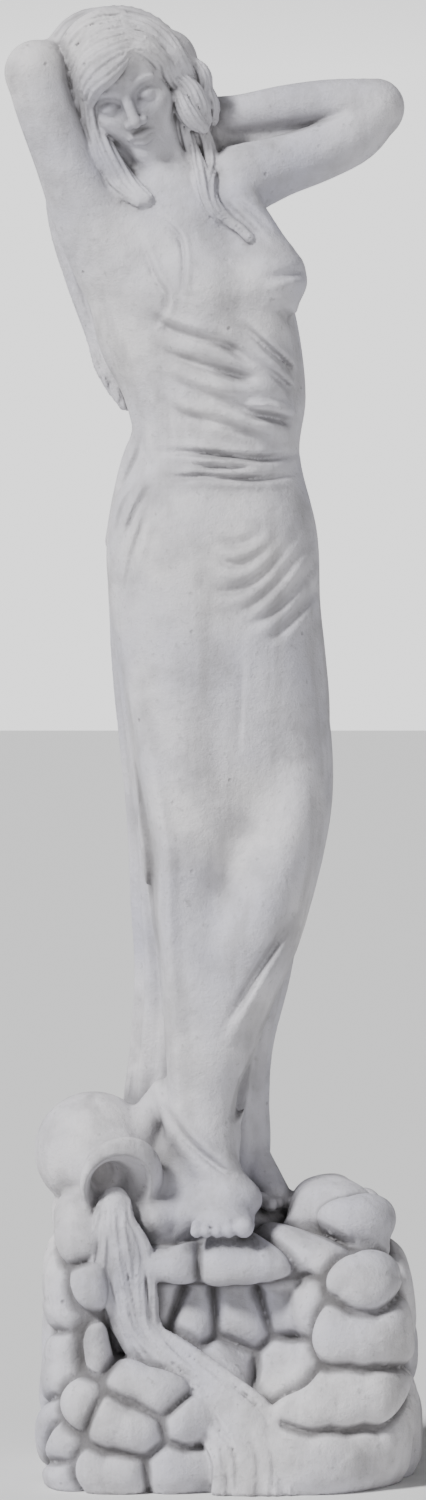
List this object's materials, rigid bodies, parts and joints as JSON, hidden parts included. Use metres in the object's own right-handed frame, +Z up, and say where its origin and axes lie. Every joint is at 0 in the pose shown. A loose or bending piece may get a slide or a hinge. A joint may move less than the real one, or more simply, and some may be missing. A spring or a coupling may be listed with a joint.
{
  "type": "garden statue",
  "caption": "Standing woman in a long draped gown, hands behind her head, cast in one piece with a rockwork base, a jug on its side and a stream of water.",
  "frame": {"origin": "middle of the rockwork's flat underside, at ground level", "axes": "+Z up, -Y out of the front of the figure, +X towards the viewer's right"},
  "size_m": [0.2422, 0.1961, 0.852],
  "materials": {
    "cast_stone": "matt, pale grey cast stone"
  },
  "bodies": {
    "root": {"statue": "cast_stone"}
  },
  "joints": []
}
